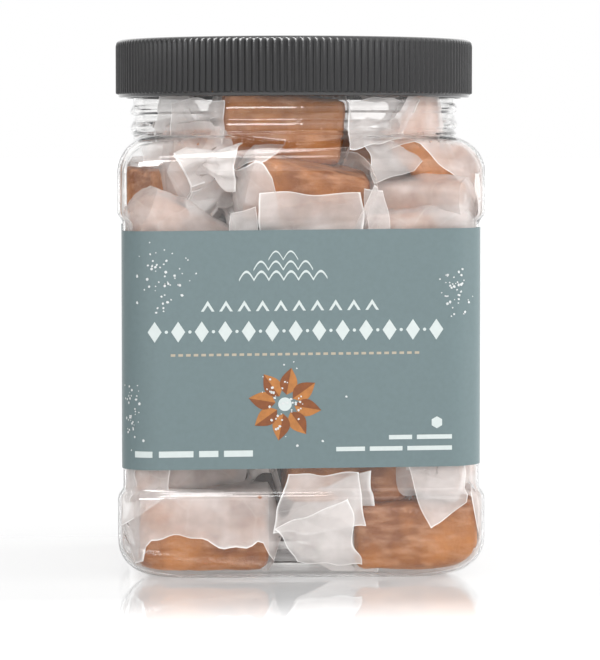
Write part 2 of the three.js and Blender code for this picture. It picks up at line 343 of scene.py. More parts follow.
def make_creases() -> bpy.types.NodeTree:
    """Crossing folds as of crumpled paper: a normal, and a mask of their sharp lines."""
    inputs = {"Scale": 150.0, "Strength": 0.5, "Depth": 0.0006, "Lines": 60.0}
    outputs = {"Normal": "NodeSocketVector", "Line": "NodeSocketFloat"}
    bend_scale, bend_reach, line_width = 60.0, 0.006, 0.018
    group = Group("PaperCreases", inputs, outputs)
    graph = group.graph
    place = graph.place()
    values = {"Vector": place, "Scale": bend_scale, "Detail": 1.0}
    bent = graph.node("TexNoise", values).outputs[1]
    bent = graph.vector("SCALE", {0: bent, "Scale": bend_reach})
    place = graph.vector("ADD", {0: place, 1: bent})
    values = {"Vector": place, "Scale": group.given["Scale"]}
    cells = graph.node("TexVoronoi", values, feature="F1").outputs["Distance"]
    values = {"Vector": place, "Scale": group.given["Lines"]}
    edges = graph.node("TexVoronoi", values, feature="DISTANCE_TO_EDGE").outputs["Distance"]
    line = graph.node("MapRange", {0: edges, 1: 0.0, 2: line_width, 3: 1.0, 4: 0.0}).outputs[0]
    return group.ended({"Normal": group.bump(cells), "Line": line})


@dataclass
class Shared:
    """The node groups that the finishes share."""

    mottle: bpy.types.NodeTree = field(default_factory=make_mottle)
    relief: bpy.types.NodeTree = field(default_factory=make_relief)
    creases: bpy.types.NodeTree = field(default_factory=make_creases)


def opaque(colour: Colour) -> tuple[float, ...]:
    """A colour as a shader socket takes it, with full alpha."""
    return (*colour, 1.0)


def principled(
    name: str, values: dict[str, object]
) -> tuple[bpy.types.Material, Graph, bpy.types.Node]:
    """Starts a material with its Principled shader.

    Args:
        name: Name of the material.
        values: Input values by name.

    Returns:
        The material, a graph of its nodes and the shader node.
    """
    material = bpy.data.materials.new(name)
    material.use_nodes = True
    graph = Graph(material.node_tree)
    return material, graph, graph.fill(material.node_tree.nodes["Principled BSDF"], values)


@dataclass(frozen=True)
class ClearFinish:
    """Clear blown plastic that lets light reach what is inside."""

    name: str = "clear_plastic"
    tint: Colour = (0.985, 0.98, 0.975)
    index: float = 1.14
    coat_index: float = 1.41
    let_through: Colour = (0.97, 0.97, 0.97)

    def build(self) -> bpy.types.Material:
        """Makes the material."""
        values = {
            "Base Color": opaque(self.tint),
            "Roughness": 0.0,
            "IOR": self.index,
            "Transmission Weight": 1.0,
            "Coat Weight": 1.0,
            "Coat IOR": self.coat_index,
            "Coat Roughness": 0.0,
        }
        material, graph, shader = principled(self.name, values)
        path = graph.node("LightPath").outputs
        passing = graph.joined("MAXIMUM", path["Is Shadow Ray"], path["Is Diffuse Ray"])
        clear = graph.node("BsdfTransparent", {"Color": opaque(self.let_through)}).outputs[0]
        mixed = graph.node("MixShader", {0: passing, 1: shader.outputs[0], 2: clear}).outputs[0]
        graph.fill(graph.tree.nodes["Material Output"], {"Surface": mixed})
        return material


@dataclass(frozen=True)
class LidFinish:
    """Moulded charcoal plastic with a fine grain. Its heights and reach are in metres."""

    name: str = "lid_plastic"
    colour: Colour = (0.014, 0.014, 0.015)
    roughness: float = 0.32
    polish_roughness: float = 0.06
    edge_heights: tuple[float, float] = (0.1348, 0.1356)
    edge_reach: tuple[float, float] = (0.0444, 0.0450)
    foot_heights: tuple[float, float] = (0.1223, 0.1219)

    def build(self, shared: Shared) -> bpy.types.Material:
        """Makes the material, polished along the rounded top edge and at the foot."""
        values = {
            "Base Color": opaque(self.colour),
            "Roughness": self.roughness,
            "IOR": 1.5,
            "Coat Roughness": self.polish_roughness,
        }
        material, graph, shader = principled(self.name, values)
        place = graph.place()
        height = graph.node("SeparateXYZ", {0: place}).outputs["Z"]
        plan = graph.vector("MULTIPLY", {0: place, 1: (1.0, 1.0, 0.0)})
        reach = graph.node("VectorMath", {0: plan}, operation="LENGTH").outputs["Value"]
        edge = graph.between(height, *self.edge_heights)
        edge = graph.joined("MULTIPLY", edge, graph.between(reach, *self.edge_reach))
        polish = graph.joined("MAXIMUM", edge, graph.between(height, *self.foot_heights))
        relief = graph.shared(shared.relief, {"Scale": 2600.0, "Strength": 0.12, "Depth": 0.0002})
        graph.fill(shader, {"Coat Weight": polish, "Normal": relief.outputs["Normal"]})
        return material


@dataclass(frozen=True)
class InkFinish:
    """One flat colour of the label: its film or one of its inks."""

    name: str
    colour: Colour
    roughness: float = 0.5
    uneven: float = 0.02

    def build(self, shared: Shared) -> bpy.types.Material:
        """Makes the material."""
        values = {"Roughness": self.roughness, "IOR": 1.45}
        material, graph, shader = principled(self.name, values)
        mottle = graph.shared(shared.mottle, {"Scale": 900.0, "Low": 0.3, "High": 0.7})
        low = tuple(channel * (1.0 - self.uneven) for channel in self.colour)
        high = tuple(min(channel * (1.0 + self.uneven), 1.0) for channel in self.colour)
        colour = graph.mix(mottle.outputs["Mask"], opaque(low), opaque(high))
        graph.fill(shader, {"Base Color": colour})
        return material


@dataclass(frozen=True)
class CaramelFinish:
    """Soft caramel: mottled, streaked by the knife and a little glossy."""

    name: str = "caramel"
    dark: Colour = (0.24, 0.075, 0.016)
    light: Colour = (0.51, 0.188, 0.042)
    pale: Colour = (0.64, 0.34, 0.19)
    most_pale: float = 0.6
    glossy: float = 0.36
    dull: float = 0.56

    def build(self, shared: Shared) -> bpy.types.Material:
        """Makes the material."""
        values = {
            "IOR": 1.46,
            "Specular IOR Level": 0.3,
            "Subsurface Weight": 0.12,
            "Subsurface Radius": (1.0, 0.45, 0.2),
            "Subsurface Scale": 0.003,
        }
        material, graph, shader = principled(self.name, values)
        values = {"Scale": 75.0, "Detail": 5.0, "Low": 0.40, "High": 0.62}
        broad = graph.shared(shared.mottle, values).outputs["Mask"]
        values = {"Scale": 520.0, "Detail": 6.0, "Low": 0.46, "High": 0.72, "Stretch": 0.35}
        streak = graph.shared(shared.mottle, values).outputs["Mask"]
        values = {"Scale": 700.0, "Detail": 6.0, "Strength": 0.6, "Depth": 0.0006}
        relief = graph.shared(shared.relief, values).outputs["Normal"]
        colour = graph.mix(broad, opaque(self.dark), opaque(self.light))
        colour = graph.mix(graph.ranged(streak, 0.0, self.most_pale), colour, opaque(self.pale))
        gloss = graph.ranged(streak, self.glossy, self.dull)
        graph.fill(shader, {"Base Color": colour, "Roughness": gloss, "Normal": relief})
        return material


@dataclass(frozen=True)
class PaperFinish:
    """Thin waxed paper that what is under it shows through."""

    name: str = "waxed_paper"
    colour: Colour = (0.88, 0.81, 0.785)
    edge_highlight_colour: Colour = (0.95, 0.94, 0.93)
    shade: float = 0.94
    least: float = 0.32
    most: float = 0.60
    fold_line: float = 0.5

    def build(self, shared: Shared) -> bpy.types.Material:
        """Makes the material, less clear in patches, along the folds and at free edges, where it
        also turns near white: partly the denser paper there, partly a painted highlight.
        """
        material, graph, shader = principled(self.name, {"IOR": 1.45, "Roughness": 0.42})
        values = {"Scale": 120.0, "Detail": 4.0, "Low": 0.3, "High": 0.7}
        broad = graph.shared(shared.mottle, values).outputs["Mask"]
        values = {"Scale": 190.0, "Strength": 0.35, "Depth": 0.0006, "Lines": 62.0}
        creases = graph.shared(shared.creases, values).outputs
        rim = graph.node("Attribute", attribute_name=RIM).outputs["Fac"]
        rim = graph.joined("MAXIMUM", rim, graph.ranged(creases["Line"], 0.0, self.fold_line))
        low = tuple(channel * self.shade for channel in self.colour)
        colour = graph.mix(broad, opaque(low), opaque(self.colour))
        cover = graph.joined("MAXIMUM", graph.ranged(broad, self.least, self.most), rim)
        values = {
            # Near-white along folds and free edges: partly the denser paper, partly a painted
            # highlight.
            "Base Color": graph.mix(rim, colour, opaque(self.edge_highlight_colour)),
            "Alpha": cover,
            "Normal": creases["Normal"],
        }
        graph.fill(shader, values)
        return material


class Ink(Enum):
    """Colours printed on the label, with their finishes."""

    CREAM = InkFinish("ink_cream", (0.62, 0.68, 0.67))
    TAN = InkFinish("ink_tan", (0.46, 0.40, 0.31), uneven=0.03)
    AMBER = InkFinish("ink_amber", (0.44, 0.17, 0.04), 0.45, 0.12)
    BROWN = InkFinish("ink_brown", (0.22, 0.065, 0.015), 0.45, 0.12)
    SALT = InkFinish("ink_salt", (0.68, 0.70, 0.70))
    WHITE = InkFinish("ink_white", (0.68, 0.70, 0.70), uneven=0.01)
    DARK = InkFinish("ink_dark", (0.03, 0.035, 0.04))


# The jar


@dataclass(frozen=True)
class JarShape:
    """The jar's own sizes, as in the CAD part, in millimetres."""

    half: float = 46.2
    panel_half: float = 44.85
    corner: float = 8.5
    growth: float = 0.25
    wall: float = 0.6
    base: float = 10.3
    lower_step: tuple[float, float] = (19.8, 24.2)
    upper_step: tuple[float, float] = (88.6, 93.0)
    shoulder: float = 102.0
    shoulder_radius: float = 9.5
    ring: float = 3.0
    push_half: float = 26.0
    push_edge: float = 33.0
    push_corner: float = 13.0
    push_height: float = 2.2
    push_middle: float = 2.8
    neck: float = 42.0
    bead: float = 0.7
    bead_width: float = 0.45
    neck_bottom: float = 111.9
    neck_top: float = 134.2
    threads: tuple[float, float] = (113.9, 118.1)
    thread_height: float = 0.75
    thread_crest: float = 0.4
    thread_under: float = 0.7
    thread_over: float = 1.9
    thread_rise: float = 1.4
    thread_fade: float = 20.0
    seam_height: float = 0.09
    seam_width: float = 0.33

    def corner_at(self, half: Points | float, inset: float) -> Points:
        """The corner radius in plan, which grows where the body draws in."""
        return self.corner + self.growth * (self.half - inset - half) - inset

    def levels(self, inset: float, steps: int = 14) -> Points:
        """The body's rings from the standing ring to the foot of the neck.

        Args:
            inset: Distance in from the outside.
            steps: Number of steps in each rounding.

        Returns:
            Height, half width and least radius of each ring.
        """
        rows: list[tuple[float, float, float]] = []
        radius = self.base - inset
        for angle in np.linspace(0.0, math.pi / 2, steps):
            half = self.half - self.base + radius * math.sin(angle)
            rows.append((self.base - radius * math.cos(angle), half, 0.0))
        depth = self.half - self.panel_half
        for (low, high), down in ((self.lower_step, True), (self.upper_step, False)):
            for share in np.linspace(0.0, 1.0, 11):
                turn = float(smooth(0.16, 0.84, share))
                drop = depth * (turn if down else 1.0 - turn)
                rows.append((low + (high - low) * share, self.half - inset - drop, 0.0))
            if down:
                rows += [(z, self.panel_half - inset, 0.0) for z in (40.0, 56.0, 72.0)]
        radius = self.shoulder_radius - inset
        for angle in np.linspace(0.0, math.pi / 2, steps + 4):
            half = self.half - self.shoulder_radius + radius * math.cos(angle)
            rows.append((self.shoulder + radius * math.sin(angle), half, self.neck - inset))
        return np.array(rows)

    def hold(self, points: Points, clearance: float, gap: float = 0.0) -> Points:
        """Moves points that stick out of the jar's inside back to its inner wall.

        Args:
            points: Points in millimetres.
            clearance: Least distance from the inner wall.
            gap: More distance at the floor of the jar.

        Returns:
            The points, all inside.
        """
        inset = self.wall + clearance
        held = np.array(points, float)
        rows = self.levels(inset)
        out = np.abs(held[..., :2]).max(-1)
        floor = inset + gap + self.push_height * (1.0 - smooth(self.push_half, self.push_edge, out))
        top = self.neck_top - clearance
        held[..., 2] = np.clip(np.maximum(held[..., 2], floor), rows[0, 0], top)
        z = held[..., 2]
        half = np.interp(z, rows[:, 0], rows[:, 1])
        low = z < self.shoulder
        for axis in (0, 1):
            flat = np.clip(held[..., axis], -half, half)
            held[..., axis] = np.where(low, flat, held[..., axis])
        angle = np.arctan2(held[..., 1], held[..., 0])
        reach = np.hypot(held[..., 0], held[..., 1])
        body = square_radius(angle, half, np.maximum(self.corner_at(half, inset), 1.0))
        round_part = self.neck - inset
        limit = np.where(z < self.shoulder, body, np.maximum(body, round_part))
        limit = np.where(z > self.neck_bottom - inset, round_part, limit)
        scale = np.minimum(1.0, limit / np.maximum(reach, 1e-6))
        held[..., 0] *= scale
        held[..., 1] *= scale
        return held


@dataclass
class Jar:
    """The blown jar: rounded square body with two bumpers, and a round threaded neck."""

    shape: JarShape
    finish: ClearFinish
    inner_follow: float = 0.35
    inner_sway: float = 0.03

    def angles(self) -> Points:
        """Ring directions from the back, closer at the corners and at the mould line in front."""
        quarter = np.concatenate([np.arange(-29.0, 30.0, 3.4), np.arange(30.6, 60.0, 1.8)])
        every = np.concatenate([quarter + 90.0 * side for side in range(4)])
        fine = 180.0 + np.array([-1.0, -0.55, -0.25, 0.0, 0.25, 0.55, 1.0])
        every = every[np.abs(every - 180.0) > 1.3]
        return np.sort(np.concatenate([every, fine]) % 360.0)

    def ring(self, radius: Points, z: Points | float) -> Points:
        """Points of one ring from its radii."""
        turned = np.radians(self.angles() + 90.0)
        heights = np.broadcast_to(z, turned.shape)
        return np.stack([radius * np.cos(turned), radius * np.sin(turned), heights], axis=-1)

    def body_rings(self, inset: float) -> list[Points]:
        """Rings of the base, walls and shoulder, at a distance in from the outside."""
        shape = self.shape
        around = np.radians(self.angles())
        flat = shape.half - shape.base - shape.ring
        rings = []
        for share in np.linspace(0.0, 1.0, 7):
            half = shape.push_half + (flat - shape.push_half) * share
            corner = shape.push_corner + (shape.corner_at(flat, 0.0) - shape.push_corner) * share
            z = inset + shape.push_height * (1.0 - float(smooth(0.0, 1.0, share)))
            rings.append(self.ring(square_radius(around, half, corner), z))
        for z, half, least in shape.levels(inset):
            radius = square_radius(around, half, shape.corner_at(half, inset))
            rings.append(self.ring(np.maximum(radius, least), z))
        return rings

    def neck_rings(self, inset: float, follow: float) -> list[Points]:
        """Rings of the neck with its bead, thread and mould line.

        Args:
            inset: Distance in from the outside.
            follow: Share of the ridges' height that this skin shows.

        Returns:
            The rings from the bead up.
        """
        shape = self.shape
        degrees = self.angles()
        fade = np.minimum(1.0, np.minimum(degrees, 360.0 - degrees) / shape.thread_fade)
        rise = shape.thread_rise * (degrees / 360.0 - 0.5)
        seam = shape.seam_height * np.exp(-np.square((degrees - 180.0) / shape.seam_width))
        rings = []
        fine = np.arange(shape.neck_bottom - inset, 121.5, 0.26)
        for z in np.concatenate([fine, [124.0, 128.0, 132.0, shape.neck_top]]):
            bump = seam * float(smooth(shape.neck_bottom, shape.neck_bottom + 0.8, z))
            above = (z - shape.neck_bottom) / shape.bead_width
            bump = bump + shape.bead * np.exp(-(above ** 2))
            for middle in shape.threads:
                past = z - middle - rise + shape.thread_crest
                share = np.where(past > 0.0, past / shape.thread_over, past / shape.thread_under)
                bump = bump + shape.thread_height * fade * np.maximum(1.0 - share ** 2, 0.0)
            rings.append(self.ring(shape.neck - inset + follow * bump, z))
        return rings

    def build(self) -> bpy.types.Object:
        """Makes the jar's one closed skin."""
        shape = self.shape
        outside = self.body_rings(0.0) + self.neck_rings(0.0, 1.0)
        inside = self.body_rings(shape.wall) + self.neck_rings(shape.wall, self.inner_follow)
        inner = np.stack(inside)
        sway = Wobble(5, 34.0).soft(inner)[..., None]
        away = inner * np.array([1.0, 1.0, 0.0])
        away /= np.maximum(np.linalg.norm(away, axis=-1, keepdims=True), 1e-6)
        inner = inner - self.inner_sway * away * (1.0 + sway)
        grid = np.concatenate([np.stack(outside), inner[::-1]])
        count = grid.shape[1]
        skin = Skin()
        faces = grid_faces(len(grid), count, closed=True).tolist()
        ends = (len(grid) - 1) * count
        first, last = ends + count, ends + count + 1
        for i in range(count):
            after = (i + 1) % count
            faces.append([first, after, i])
            faces.append([last, ends + i, ends + after])
        middles = [[0.0, 0.0, shape.push_middle], [0.0, 0.0, shape.push_middle + shape.wall]]
        skin.add(np.concatenate([grid.reshape(-1, 3), middles]), faces)
        return skin.piece("jar_wall", self.finish.build(), "clear_plastic", "jar", 38.0)


@dataclass
class Lid:
    """The screw lid: fine upright ribs, a plain band at the foot and a rounded top edge."""

    finish: LidFinish
    radius: float = 46.5
    band_radius: float = 45.85
    inner_radius: float = 43.7
    bottom: float = 121.2
    top: float = 136.1
    plate: float = 1.5
    edge: float = 1.1
    ribs: int = 164
    rib_depth: float = 0.5
    rib_bottom: float = 122.2
    rib_top: float = 135.0
    rib_sharpness: float = 1.6
    middle: float = 0.5

    def build(self, shared: Shared) -> bpy.types.Object:
        """Makes the lid's closed skin."""
        turns = np.linspace(0.0, 2.0 * math.pi, self.ribs * 8, endpoint=False)
        groove = (0.5 - 0.5 * np.cos(turns * self.ribs)) ** self.rib_sharpness
        rows: list[tuple[float, float, float]] = [
            (self.middle, self.top - self.plate, 0.0),
            (self.inner_radius, self.top - self.plate, 0.0),
            (self.inner_radius, self.bottom, 0.0),
            (self.band_radius - 0.35, self.bottom, 0.0),
            (self.band_radius, self.bottom + 0.3, 0.0),
            (self.band_radius, self.rib_bottom - 0.15, 0.0),
            (self.radius - 0.12, self.rib_bottom + 0.05, 0.8),
            (self.radius, self.rib_bottom + 0.3, 1.0),
            (self.radius, self.rib_top - 0.5, 1.0),
            (self.radius - 0.08, self.rib_top - 0.15, 0.9),
        ]
        for angle in np.radians([20.0, 40.0, 60.0, 80.0, 90.0]):
            radius = self.radius - self.edge * (1.0 - math.cos(angle)) - 0.12
            z = self.top - self.edge * (1.0 - math.sin(angle))
            rows.append((radius, z, max(0.0, 0.7 - angle)))
        rows += [(radius, self.top, 0.0) for radius in (self.radius - 4.0, 20.0, self.middle)]
        grid = np.empty((len(rows), len(turns), 3))
        for index, (radius, z, share) in enumerate(rows):
            spread = radius - self.rib_depth * groove * share
            x, y = spread * np.cos(turns), spread * np.sin(turns)
            grid[index] = np.stack([x, y, np.full_like(turns, z)], -1)
        skin = Skin()
        skin.add_grid(grid, closed=True, capped=True)
        return skin.piece("lid_shell", self.finish.build(shared), "lid_plastic", "lid", 50.0)


# The label

PRINT_LIFT = 0.04


@dataclass
class Label:
    """The film band round the jar, with a plain printed design."""

    film: InkFinish
    half: float = 45.15
    thickness: float = 0.2
    corner: float = 9.14
    bottom: float = 28.5
    top: float = 88.0
    skew: float = math.tan(math.radians(0.5))
    skins: dict[Ink, Skin] = field(default_factory=dict)

    def printed(self, ink: Ink) -> Skin:
        """The skin that gathers what is printed in one ink."""
        return self.skins.setdefault(ink, Skin())

    def wrap(self, flat: Points, lift: float) -> Points:
        """Puts flat points on the band.

        Args:
            flat: Distance along the band from the middle of its front, and height.
            lift: Distance off the film.

        Returns:
            The points in space.
        """
        along, z = flat[..., 0], flat[..., 1]
        straight = self.half - self.corner
        corner = self.corner + lift
        bend = np.clip((np.abs(along) - straight) / self.corner, 0.0, math.pi / 2)
        past = np.maximum(np.abs(along) - straight - self.corner * math.pi / 2, 0.0)
        x = np.sign(along) * (np.minimum(np.abs(along), straight) + corner * np.sin(bend))
        y = -straight - corner * np.cos(bend) + past
        return np.stack([x, y, z + x * self.skew], axis=-1)

    def ink(self, ink: Ink, flat: Points, lift: float = PRINT_LIFT) -> None:
        """Prints one plain outline in one ink, at a distance off the film."""
        points = self.wrap(np.asarray(flat, float), lift)
        self.printed(ink).add(points, [range(len(points))])

    def bar(
        self, ink: Ink, ends: tuple[float, float], z: float, height: float, lift: float = PRINT_LIFT
    ) -> None:
        """Prints a level bar.

        Args:
            ink: Its colour.
            ends: Where it starts and ends along the band.
            z: Its middle height.
            height: Its height.
            lift: Distance off the film.
        """
        steps = np.linspace(ends[0], ends[1], max(2, int(abs(ends[1] - ends[0])) + 1))
        levels = (np.full_like(steps, z + side * height / 2) for side in (-1, 1))
        rows = [np.stack([steps, level], -1) for level in levels]
        self.printed(ink).add_grid(self.wrap(np.stack(rows), lift))

    def star(
        self, ink: Ink, at: tuple[float, float], size: tuple[float, float], sides: int = 4
    ) -> None:
        """Prints a diamond, or another outline with even sides.

        Args:
            ink: Its colour.
            at: Its middle.
            size: Half its width and half its height.
            sides: Number of sides.
        """
        turns = np.linspace(0.0, 2.0 * math.pi, sides, endpoint=False)
        outline = np.stack([at[0] + size[0] * np.sin(turns), at[1] + size[1] * np.cos(turns)], -1)
        self.ink(ink, outline)

    def wave(
        self,
        ink: Ink,
        ends: tuple[float, float],
        z: float,
        swing: float,
        length: float,
        width: float,
    ) -> None:
        """Prints a wavy line.

        Args:
            ink: Its colour.
            ends: Where it starts and ends along the band.
            z: Its middle height.
            swing: Height of its waves.
            length: Length of one wave.
            width: Width of the line.
        """
        steps = np.linspace(ends[0], ends[1], 90)
        middle = z + swing * np.abs(np.sin(math.pi * (steps - ends[0]) / length))
        rows = [np.stack([steps, middle + side * width / 2], -1) for side in (-1, 1)]
        self.printed(ink).add_grid(self.wrap(np.stack(rows), PRINT_LIFT))

    def petal(self, at: tuple[float, float], turn: float, reach: float) -> None:
        """Prints one petal of the rosette, with its darker half on top.

        Args:
            at: Middle of the rosette.
            turn: Direction of the petal in degrees from straight up.
            reach: Length of the petal.
        """
        share = np.linspace(0.0, 1.0, 9)
        wide = 0.24 * reach * np.sin(math.pi * share ** 0.8)
        along = reach * (0.26 + 0.74 * share)
        left = np.stack([-wide, along], -1)
        right = np.stack([wide, along], -1)[::-1]
        middle = np.stack([np.zeros(9), along], -1)[::-1]
        angle = math.radians(turn)
        spin = np.array([[math.cos(angle), -math.sin(angle)], [math.sin(angle), math.cos(angle)]])
        centre = np.array(at)
        self.ink(Ink.AMBER, centre + np.concatenate([left, right]) @ spin)
        self.ink(Ink.BROWN, centre + np.concatenate([left, middle]) @ spin, 1.5 * PRINT_LIFT)

    def specks(
        self, seed: int, middle: tuple[float, float], spread: tuple[float, float], count: int
    ) -> None:
        """Scatters small white specks of salt.

        Args:
            seed: Seed of the scatter.
            middle: Middle of the patch.
            spread: Its half width and half height.
            count: Number of specks.
        """
        random = np.random.default_rng(seed)
        for _ in range(count):
            place = random.normal(0.0, 0.55, 2) * spread
            size = random.uniform(0.16, 0.42)
            turns = np.linspace(0.0, 2.0 * math.pi, 5, endpoint=False) + random.uniform(0.0, 1.2)
            outline = np.stack([np.cos(turns), np.sin(turns)], -1) * size
            outline = outline * random.uniform(0.7, 1.25, (5, 1))
            self.ink(Ink.SALT, outline + place + middle, 2.0 * PRINT_LIFT)

    def print_front(self) -> None:
        """Prints the plain design of the front."""
        for row, reach in enumerate((11.0, 7.4, 3.7)):
            ends, z = (-5.0 - reach, -5.0 + reach), 75.6 + 2.5 * row
            self.wave(Ink.CREAM, ends, z, 2.1, 3.7, 0.62 - 0.1 * row)
        diamond_z, diamond_step = 62.9, 5.85
        for index in range(13):
            at = -37.0 + diamond_step * index
            self.star(Ink.CREAM, (at, diamond_z), (1.75, 2.6))
            if index < 12:
                self.star(Ink.CREAM, (at + 2.92, diamond_z), (0.42, 0.42), 10)
        foot, bend, peak = 67.9, 69.4, 70.6
        for index in range(10):
            at = -23.8 + 4.55 * index
            left, inner_left = [at - 1.7, foot], [at - 1.0, foot]
            right, inner_right = [at + 1.7, foot], [at + 1.0, foot]
            self.ink(Ink.CREAM, [left, [at, peak], [at, bend], inner_left])
            self.ink(Ink.CREAM, [[at, peak], right, inner_right, [at, bend]])
        for index in range(33):
            at = -33.0 + 1.9 * index
            self.bar(Ink.TAN, (at, at + 1.15), 57.1, 0.62)
        rosette = (-4.6, 44.6)
        for index in range(8):
            self.petal(rosette, 45.0 * index + 10.0, 9.2)
        self.star(Ink.CREAM, rosette, (1.7, 1.7), 18)
        self.specks(3, (-4.6, 45.4), (8.4, 7.2), 46)
        bars = (
            (32.4, 1.55, ((-42.4, -37.6), (-36.0, -27.4), (-26.0, -21.2), (-19.8, -12.6))),
            (36.0, 1.1, ((21.4, 27.2), (28.4, 37.2))),
            (33.2, 1.1, ((8.2, 15.4), (16.6, 24.8), (26.0, 37.2))),
        )
        for z, height, row in bars:
            for ends in row:
                self.bar(Ink.CREAM, ends, z, height)
        self.star(Ink.CREAM, (33.4, 39.6), (1.5, 1.5), 6)
        self.specks(8, (-35.5, 75.5), (6.2, 7.4), 54)
        self.specks(21, (38.0, 72.4), (4.2, 5.6), 42)
        self.specks(34, (-42.8, 43.8), (3.6, 7.4), 40)

    def print_side(self) -> None:
        """Prints the white field of plain bars on the right side."""
        self.bar(Ink.WHITE, (51.2, 92.0), 43.2, 27.0)
        for index, width in enumerate((30.0, 34.0, 26.0, 33.0, 29.0, 34.0, 22.0)):
            self.bar(Ink.DARK, (53.0, 53.0 + width), 53.6 - 3.5 * index, 1.3, 0.07)

    def build(self, shared: Shared) -> None:
        """Makes the band and what is printed on it."""
        quarter = np.concatenate([np.linspace(-36.0, 36.0, 13), np.arange(37.5, 54.0, 1.5)])
        turns = np.radians(np.concatenate([side * 90.0 + quarter for side in range(4)]))
        rows = []
        levels = (self.bottom, self.top, self.top, self.bottom)
        for offset, z in zip((0.0, 0.0, -self.thickness, -self.thickness), levels):
            radius = square_radius(turns, self.half + offset, self.corner + offset)
            x, y = radius * np.cos(turns), radius * np.sin(turns)
            rows.append(np.stack([x, y, z + x * self.skew], -1))
        skin = Skin()
        skin.add_grid(np.stack([*rows, rows[0]]), closed=True)
        skin.piece("label_film", self.film.build(shared), "printed_label", "label", 40.0)
        self.print_front()
        self.print_side()
        for ink, skin in self.skins.items():
            finish = ink.value.build(shared)
            skin.piece(f"print_{ink.name.lower()}", finish, "printed_label", "label")


# The sweets


@dataclass(frozen=True)
class Tail:
    """One twisted end of a wrapper: how it leans off the sweet's line, and its flat fan."""

    lean: float = 12.0
    way: float = 90.0
    spin: float = 0.0
    length: float = 11.0
    width: float = 18.0

    def leaning(self, beyond: Points, y: Points, z: Points) -> Points:
        """Leans the points of the tail off the sweet's line.

        Args:
            beyond: Distance of each point past the twist.
            y: Offsets to the back.
            z: Offsets to the top.

        Returns:
            The points, with X as the distance out.
        """
        lean, way = math.radians(max(self.lean, 0.5)), math.radians(self.way)
        back, up = -math.sin(way), math.cos(way)
        turn_length = 5.0
        bend = lean * np.clip(beyond / turn_length, 0.0, 1.0)
        bow = turn_length / lean
        past = np.maximum(beyond - turn_length, 0.0)
        out = np.where(beyond > 0.0, bow * np.sin(bend) + past * np.cos(bend), beyond)
        side = np.where(beyond > 0.0, bow * (1.0 - np.cos(bend)) + past * np.sin(bend), 0.0)
        tilted = y * back + z * up
        level = y * -up + z * back
        out = out - tilted * np.sin(bend)
        side = side + tilted * np.cos(bend)
        return np.stack([out, side * back - level * up, side * up + level * back], -1)


def turned_about(axis: int, angle: float) -> Points:
    """The matrix of a turn in degrees about the X, Y or Z axis, numbered 0, 1 and 2."""
    cosine, sine = math.cos(math.radians(angle)), math.sin(math.radians(angle))
    matrix = np.eye(3)
    first, second = (axis + 1) % 3, (axis + 2) % 3
    matrix[first, first] = matrix[second, second] = cosine
    matrix[first, second], matrix[second, first] = -sine, sine
    return matrix


@dataclass(frozen=True)
class Sweet:
    """One wrapped caramel.

    Directions round it are in degrees: 0 is its top, 90 its front, 180 its underside and 270
    its back. Its wrapper is left open round one direction, over a bare share of the way round
    and between two ends along it.
    """

    at: tuple[float, float, float]
    turn: float = 0.0
    tilt: float = 0.0
    roll: float = 0.0
    opening: float = 90.0
    bare: float = 0.0
    left: Tail = Tail()
    right: Tail = Tail()
    depth: float = 0.3
    slit: tuple[float, float] = (-1.0, 1.0)
    scale: tuple[float, float, float] = (1.0, 1.0, 1.0)
    fine: bool = True

    def placed(self, points: Points) -> Points:
        """Turns and moves points from the sweet's own space to the jar's."""
        turn = turned_about(2, self.turn) @ turned_about(1, -self.tilt) @ turned_about(0, self.roll)
        return points @ turn.T + np.array(self.at)


